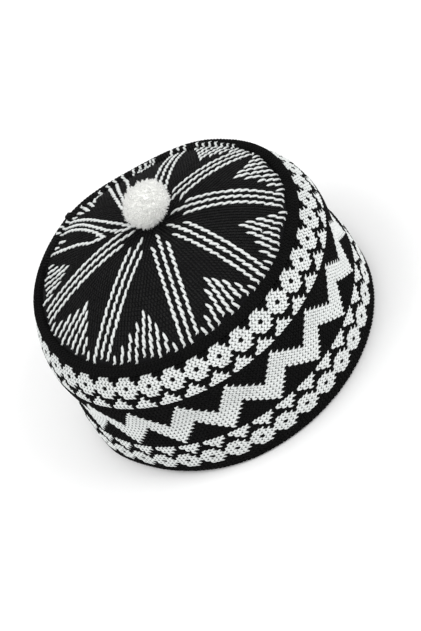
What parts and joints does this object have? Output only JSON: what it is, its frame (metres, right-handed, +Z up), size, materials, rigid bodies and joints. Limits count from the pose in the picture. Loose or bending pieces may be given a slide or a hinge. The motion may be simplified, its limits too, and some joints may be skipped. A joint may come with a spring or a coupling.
{
  "type": "knitted prayer cap",
  "caption": "Round knitted prayer cap: flared patterned side band on a turned hem, rolled ridge, domed crown with radial stripes and a small pompom.",
  "frame": {"origin": "middle of the hem, on the surface that the cap rests on", "axes": "+Z up through the crown, -Y the front that the picture faces, +X to the right"},
  "size_m": [0.1814, 0.1814, 0.1299],
  "materials": {
    "hem": "black acrylic knit, matt",
    "side_band": "black and white acrylic knit in bands of flowers and zigzag, matt",
    "ridge_welt": "black acrylic knit, matt",
    "crown": "black acrylic knit with white radial stripes, matt",
    "pompom": "white cut yarn, fuzzy"
  },
  "bodies": {
    "root": {"hem": "hem", "side_band": "side_band", "ridge_welt": "ridge_welt", "crown": "crown", "pompom": "pompom"}
  },
  "joints": []
}
